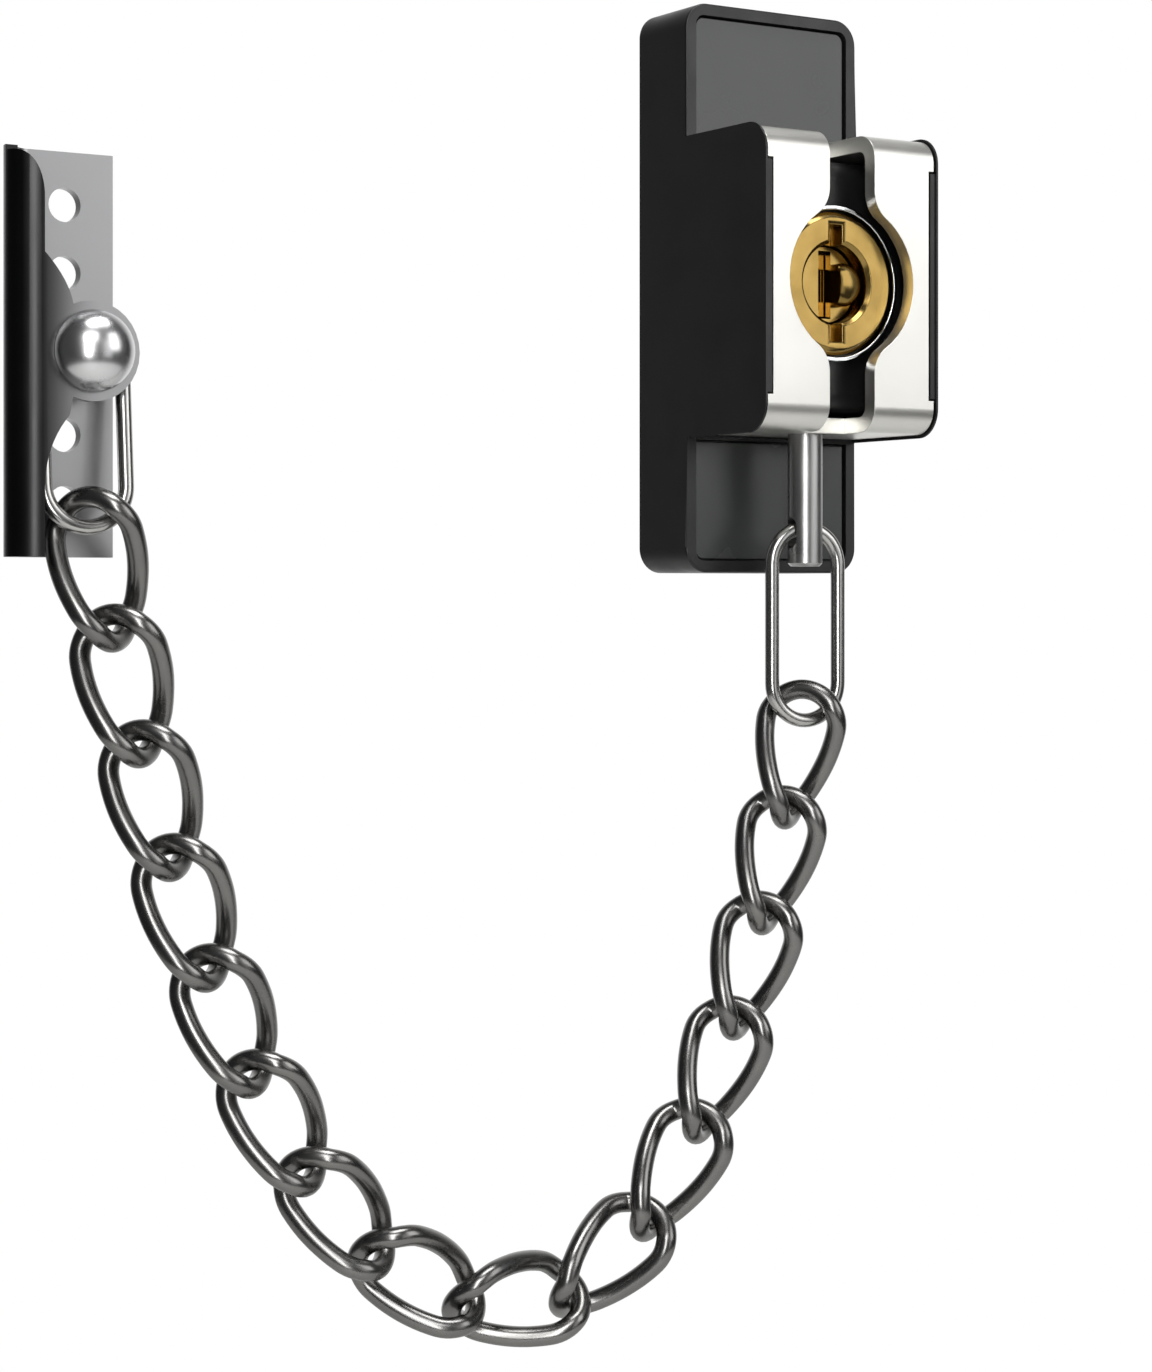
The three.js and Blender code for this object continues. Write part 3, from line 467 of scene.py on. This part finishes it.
# ---------- chain ----------
def link_tree():
    """Geometry Nodes for one wire link: a stadium, twisted about its long axis, swept with a round wire."""
    tree = bpy.data.node_groups.new("wire_link", "GeometryNodeTree")
    sizes = ("Half Length", "Bow Radius", "Twist", "Twisted Share", "Wire Radius")
    for name in sizes:
        tree.interface.new_socket(name=name, in_out="INPUT", socket_type="NodeSocketFloat")
    for name in ("Around", "Along"):
        tree.interface.new_socket(name=name, in_out="INPUT", socket_type="NodeSocketInt")
    tree.interface.new_socket(name="Material", in_out="INPUT", socket_type="NodeSocketMaterial")
    tree.interface.new_socket(name="Geometry", in_out="OUTPUT", socket_type="NodeSocketGeometry")
    given = add(tree, "NodeGroupInput").outputs
    length = add(tree, "ShaderNodeMath", {"operation": "MULTIPLY"}, i0=given["Half Length"], i1=2.0)
    width = add(tree, "ShaderNodeMath", {"operation": "MULTIPLY"}, i0=given["Bow Radius"], i1=2.0)
    outline = add(
        tree,
        "GeometryNodeCurvePrimitiveQuadrilateral",
        None,
        Width=length.outputs[0],
        Height=width.outputs[0],
    )
    stadium = add(
        tree,
        "GeometryNodeFilletCurve",
        {"mode": "POLY"},
        Curve=outline.outputs["Curve"],
        Count=24,
        Radius=given["Bow Radius"],
    )
    stadium.inputs["Limit Radius"].default_value = True
    even = add(tree, "GeometryNodeResampleCurve", None, Curve=stadium.outputs["Curve"], Count=given["Along"])
    where = add(tree, "GeometryNodeInputPosition")
    along = add(tree, "ShaderNodeSeparateXYZ", None, Vector=where.outputs["Position"])
    reach = add(
        tree, "ShaderNodeMath", {"operation": "MULTIPLY"}, i0=given["Half Length"], i1=given["Twisted Share"]
    )
    share = add(tree, "ShaderNodeMath", {"operation": "DIVIDE"}, i0=along.outputs["X"], i1=reach.outputs[0])
    held = add(tree, "ShaderNodeClamp", None, Value=share.outputs[0], Min=-1.0, Max=1.0)
    turn = add(tree, "ShaderNodeMath", {"operation": "MULTIPLY"}, i0=held.outputs[0], i1=given["Twist"])
    back = add(tree, "ShaderNodeMath", {"operation": "MULTIPLY"}, i0=turn.outputs[0], i1=-1.0)
    twisted = add(
        tree,
        "ShaderNodeVectorRotate",
        {"rotation_type": "X_AXIS"},
        Vector=where.outputs["Position"],
        Angle=back.outputs[0],
    )
    path = add(
        tree,
        "GeometryNodeSetPosition",
        None,
        Geometry=even.outputs["Curve"],
        Position=twisted.outputs["Vector"],
    )
    wire = add(
        tree,
        "GeometryNodeCurvePrimitiveCircle",
        None,
        Resolution=given["Around"],
        Radius=given["Wire Radius"],
    )
    swept = add(
        tree,
        "GeometryNodeCurveToMesh",
        None,
        Curve=path.outputs["Geometry"],
    )
    tree.links.new(wire.outputs["Curve"], swept.inputs["Profile Curve"])
    solid = add(tree, "GeometryNodeRealizeInstances", None, Geometry=swept.outputs["Mesh"])
    painted = add(
        tree,
        "GeometryNodeSetMaterial",
        None,
        Geometry=solid.outputs["Geometry"],
        Material=given["Material"],
    )
    add(tree, "NodeGroupOutput", None, Geometry=painted.outputs["Geometry"])
    return tree


def link_mesh(tree, values):
    """The finished mesh of one wire link, drawn about the origin with its length along X."""
    holder = show(bpy.data.meshes.new("holder"), "holder")
    modifier = holder.modifiers.new("link", "NODES")
    modifier.node_group = tree
    for item in tree.interface.items_tree:
        if item.in_out == "INPUT" and item.name in values:
            modifier[item.identifier] = values[item.name]
    bpy.context.view_layer.update()
    evaluated = holder.evaluated_get(bpy.context.evaluated_depsgraph_get())
    mesh = bpy.data.meshes.new_from_object(evaluated)
    bpy.data.objects.remove(holder)
    mesh.shade_smooth()
    return mesh


def lie_of(node):
    """A CAD link's middle and axes as a matrix: long axis, width, thickness.

    A link looks the same turned half over, so the axes' signs don't matter. The matrix comes from the
    surface's first and second moments, so the way that its faces are split doesn't matter either.
    """
    mesh = frame["nodes"][node].data
    mesh.calc_loop_triangles()
    points = np.array([v.co for v in mesh.vertices])
    corners = points[np.array([t.vertices for t in mesh.loop_triangles])]
    areas = np.array([t.area for t in mesh.loop_triangles])
    middle = (areas[:, None] * corners.mean(1)).sum(0) / areas.sum()
    corners = corners - middle
    sums = corners.sum(1)
    moments = np.einsum("t,tki,tkj->ij", areas, corners, corners)
    moments += np.einsum("t,ti,tj->ij", areas, sums, sums)
    spread = np.linalg.eigh(moments)[1]
    long_axis, wide_axis = spread[:, 2], spread[:, 1]
    thick_axis = np.cross(long_axis, wide_axis)
    matrix = Matrix([list(row) for row in np.stack([long_axis, wide_axis, thick_axis], 1)]).to_4x4()
    matrix.translation = Vector(middle)
    return matrix


class CHAINGUARD_OT_chain(Operator):
    """Make the twisted links and the two long links"""

    bl_idname = "chainguard.chain"
    bl_label = "Chain"

    def execute(self, context):
        s = context.scene.chainguard_chain
        tree = link_tree()
        curb = {
            "Half Length": s.curb_half * MM,
            "Bow Radius": s.curb_bow * MM,
            "Twist": s.curb_twist,
            "Twisted Share": s.twisted_share,
            "Wire Radius": s.curb_wire * MM / 2,
            "Around": s.around,
            "Along": s.along,
            "Material": finish_of(black_nickel_plate),
        }
        long = dict(curb)
        long["Half Length"] = s.long_half * MM
        long["Bow Radius"] = s.long_bow * MM
        long["Twist"] = 0.0
        long["Wire Radius"] = s.long_wire * MM / 2
        long["Material"] = finish_of(bright_nickel_wire)
        twisted = link_mesh(tree, curb)
        straight = link_mesh(tree, long)
        for node in sorted(frame["nodes"]):
            if node.startswith("curb_link"):
                mesh, maker = twisted.copy(), black_nickel_plate
            elif node.startswith("long_link"):
                mesh, maker = straight.copy(), bright_nickel_wire
            else:
                continue
            mesh.transform(lie_of(node))
            settle(show(mesh, node + "_wire"), node, maker)
        return {"FINISHED"}


# ---------- lock body ----------
def front_outline():
    """A test for the edges round the housing's front face, away from the block."""
    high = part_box("housing_shell")[1]
    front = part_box("upper_panel")[0].y - 0.6 * MM
    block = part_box("steel_guard")[1].z
    inset = 1.4 * MM
    corner = 4.2 * MM

    def test(edge):
        if any(abs(v.co.y - front) > 0.05 * MM for v in edge.verts):
            return False
        middle = (edge.verts[0].co + edge.verts[1].co) / 2
        at_side = abs(middle.x) > high.x - inset and abs(middle.z) > block - 1 * MM
        at_end = abs(middle.z) > high.z - inset
        in_corner = abs(middle.x) > high.x - corner and abs(middle.z) > high.z - corner
        pocket = abs(middle.x) < high.x - inset and abs(middle.z) < high.z - inset
        return at_end or at_side or (in_corner and not (pocket and in_pocket(middle, high)))

    return test


def in_pocket(point, high):
    """Whether a point near a corner is on the cover pocket's edge, not on the housing's rounded corner."""
    centre = Vector((high.x - 4 * MM, 0, high.z - 4 * MM))
    away = Vector((abs(point.x), 0, abs(point.z))) - centre
    return away.length < 3.6 * MM


class CHAINGUARD_OT_housing(Operator):
    """Make the moulded housing, its covers and the inner case"""

    bl_idname = "chainguard.housing"
    bl_label = "Housing"

    def execute(self, context):
        s = context.scene.chainguard_lock
        rounded_piece(
            "housing_shell",
            "moulded_housing",
            moulded_black_abs,
            s.fine_edge,
            big=front_outline(),
            big_mm=s.moulding_edge,
        )
        for end in ("upper", "lower"):
            rounded_piece(end + "_panel", end + "_cover", smoked_acrylic_cover, s.fine_edge)
        rounded_piece("lock_case", "inner_case", moulded_black_abs, s.sheet_edge)
        return {"FINISHED"}


class CHAINGUARD_OT_guard(Operator):
    """Make the folded steel guard and the plug"""

    bl_idname = "chainguard.guard"
    bl_label = "Guard and plug"

    def execute(self, context):
        s = context.scene.chainguard_lock
        rounded_piece("steel_guard", "folded_guard", bead_blasted_stainless, s.sheet_edge, 3)
        rounded_piece("chain_plug", "pull_out_plug", ground_steel_pin, s.brass_edge)
        return {"FINISHED"}


class CHAINGUARD_OT_cylinder(Operator):
    """Make the brass cylinder and the ring round its face"""

    bl_idname = "chainguard.cylinder"
    bl_label = "Cylinder"

    def execute(self, context):
        s = context.scene.chainguard_lock
        rounded_piece("cylinder_shell", "cylinder_face", turned_brass, s.brass_edge, 3)
        rounded_piece("cylinder_core", "cylinder_plug", turned_brass, s.brass_edge, 3)
        rounded_piece("face_ring", "chrome_ring", bright_chrome, s.brass_edge, 3)
        return {"FINISHED"}


# ---------- bracket ----------
class CHAINGUARD_OT_bracket(Operator):
    """Make the folded bracket and its domed rivet"""

    bl_idname = "chainguard.bracket"
    bl_label = "Bracket"

    def execute(self, context):
        s = context.scene.chainguard_bracket
        rounded_piece("bracket_plate", "folded_bracket", black_chrome_sheet, s.sheet_edge, 3)
        low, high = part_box("bracket_rivet")
        centre = (low + high) / 2
        seat = low.y + s.dome_height * MM
        steps = 24
        rim_drop, rim_chamfer, tail_height = 0.28 * MM, 0.15 * MM, 0.9 * MM
        dome = [
            (s.dome_radius * MM * math.sin(t), seat - s.dome_height * MM * math.cos(t))
            for t in (math.pi / 2 * i / steps for i in range(steps + 1))
        ]
        dome[0] = (0.0, low.y)
        shaft = s.rivet_shaft * MM
        tail = s.rivet_tail * MM
        profile = dome + [
            (s.dome_radius * MM, seat + rim_chamfer),
            (s.dome_radius * MM - rim_chamfer, seat + rim_drop),
            (shaft, seat + rim_drop),
            (shaft, high.y - tail_height),
            (tail, high.y),
            (0.0, high.y),
        ]
        mesh = turned_mesh(profile, Vector((centre.x, 0, centre.z)), 72)
        settle(show(mesh, "domed_rivet"), "bracket_rivet", satin_polished_dome)
        return {"FINISHED"}


class CHAINGUARD_OT_fixings(Operator):
    """Finish the pieces that keep their CAD shape"""

    bl_idname = "chainguard.fixings"
    bl_label = "Fixings"

    def execute(self, context):
        finishes = {
            "zinc_steel": bright_zinc_plate,
            "brass": turned_brass,
            "spring_steel": hard_drawn_steel,
        }
        for name, node in frame["nodes"].items():
            maker = finishes.get(slot_of_node(name))
            if maker is None or name in ("cylinder_shell", "cylinder_core"):
                continue
            for slot in node.material_slots:
                slot.material = finish_of(maker)
        return {"FINISHED"}


# ---------- stage ----------
def studio_world():
    """Soft surroundings: bright behind the object, and dim in front, so bright metal shows dark bands."""
    world = bpy.data.worlds.new("studio")
    world.use_nodes = True
    tree = world.node_tree
    tree.nodes.clear()
    way = add(tree, "ShaderNodeTexCoord")
    facing = add(
        tree,
        "ShaderNodeVectorMath",
        {"operation": "DOT_PRODUCT"},
        i0=way.outputs["Generated"],
        i1=VIEW_WAY,
    )
    ramp = add(tree, "ShaderNodeValToRGB", None, Fac=facing.outputs["Value"])
    ramp.color_ramp.elements[0].position = 0.45
    ramp.color_ramp.elements[0].color = linear("#434344")
    ramp.color_ramp.elements[1].position = 0.9
    ramp.color_ramp.elements[1].color = linear("#ffffff")
    light = add(tree, "ShaderNodeBackground", None, Color=ramp.outputs["Color"], Strength=1.0)
    add(tree, "ShaderNodeOutputWorld", None, Surface=light.outputs["Background"])
    bpy.context.scene.world = world


def soft_box(name, place, target, size, watts):
    """A square soft light at a place, facing a target."""
    data = bpy.data.lights.new(name, "AREA")
    data.shape = "RECTANGLE"
    data.size, data.size_y = size
    data.energy = watts
    lamp = bpy.data.objects.new(name, data)
    bpy.context.scene.collection.objects.link(lamp)
    lamp.location = place
    lamp.rotation_euler = (Vector(target) - Vector(place)).to_track_quat("-Z", "Y").to_euler()
    return lamp


# Each light's name, place, target, width and height, and power in watts.
LIGHTS = (
    ("key_light", (0.55, -0.75, 0.35), (-0.02, 0, 0), (0.5, 0.7), 2.6),
    ("front_light", (-0.5, -0.75, 0.12), (-0.06, 0, -0.05), (0.2, 0.8), 4.5),
    ("middle_light", (0.25, -0.95, 0.05), (-0.06, 0, -0.05), (0.4, 0.7), 0.7),
    ("upper_left_light", (-0.4, -0.7, 0.5), (-0.06, 0, -0.05), (0.5, 0.3), 2),
    ("top_light", (0.0, -0.2, 0.8), (-0.05, 0, -0.05), (0.6, 0.3), 5),
)


class CHAINGUARD_OT_stage(Operator):
    """Make the floor, lights and camera"""

    bl_idname = "chainguard.stage"
    bl_label = "Stage"

    def execute(self, context):
        s = context.scene.chainguard_stage
        studio_world()
        bpy.ops.mesh.primitive_circle_add(
            vertices=96, radius=s.floor_radius, fill_type="NGON", location=(0, 0, s.floor_z)
        )
        floor = context.object
        floor.name = "floor"
        floor.data.materials.append(finish_of(pale_floor))
        for light in LIGHTS:
            soft_box(*light)
        data = bpy.data.cameras.new("camera")
        data.lens = s.lens
        data.shift_y = s.shift
        data.clip_start = 0.01
        camera = bpy.data.objects.new("camera", data)
        context.scene.collection.objects.link(camera)
        camera.location = CAMERA_PLACE
        camera.rotation_euler = (math.pi / 2, 0, s.yaw)
        context.scene.camera = camera
        context.scene.view_settings.view_transform = "Standard"
        return {"FINISHED"}


OPERATORS = (
    CHAINGUARD_OT_stage,
    CHAINGUARD_OT_housing,
    CHAINGUARD_OT_guard,
    CHAINGUARD_OT_cylinder,
    CHAINGUARD_OT_bracket,
    CHAINGUARD_OT_chain,
    CHAINGUARD_OT_fixings,
)
SETTINGS = {
    "chainguard_chain": ChainSettings,
    "chainguard_lock": LockSettings,
    "chainguard_bracket": BracketSettings,
    "chainguard_stage": StageSettings,
}


class CHAINGUARD_PT_panel(Panel):
    """Lists the settings and the operators"""

    bl_label = "Door Chain Guard"
    bl_idname = "CHAINGUARD_PT_panel"
    bl_space_type = "VIEW_3D"
    bl_region_type = "UI"
    bl_category = "Chain Guard"

    def draw(self, context):
        for name, group in SETTINGS.items():
            box = self.layout.box()
            for prop in group.__annotations__:
                box.prop(getattr(context.scene, name), prop)
        for operator in OPERATORS:
            self.layout.operator(operator.bl_idname)


def register():
    for cls in (*SETTINGS.values(), *OPERATORS, CHAINGUARD_PT_panel):
        bpy.utils.register_class(cls)
    for name, group in SETTINGS.items():
        setattr(bpy.types.Scene, name, PointerProperty(type=group))


def unregister():
    for name in SETTINGS:
        delattr(bpy.types.Scene, name)
    for cls in reversed((*SETTINGS.values(), *OPERATORS, CHAINGUARD_PT_panel)):
        bpy.utils.unregister_class(cls)


def main():
    register()
    for operator in OPERATORS:
        group, name = operator.bl_idname.split(".")
        getattr(getattr(bpy.ops, group), name)()


if __name__ == "__main__":
    main()
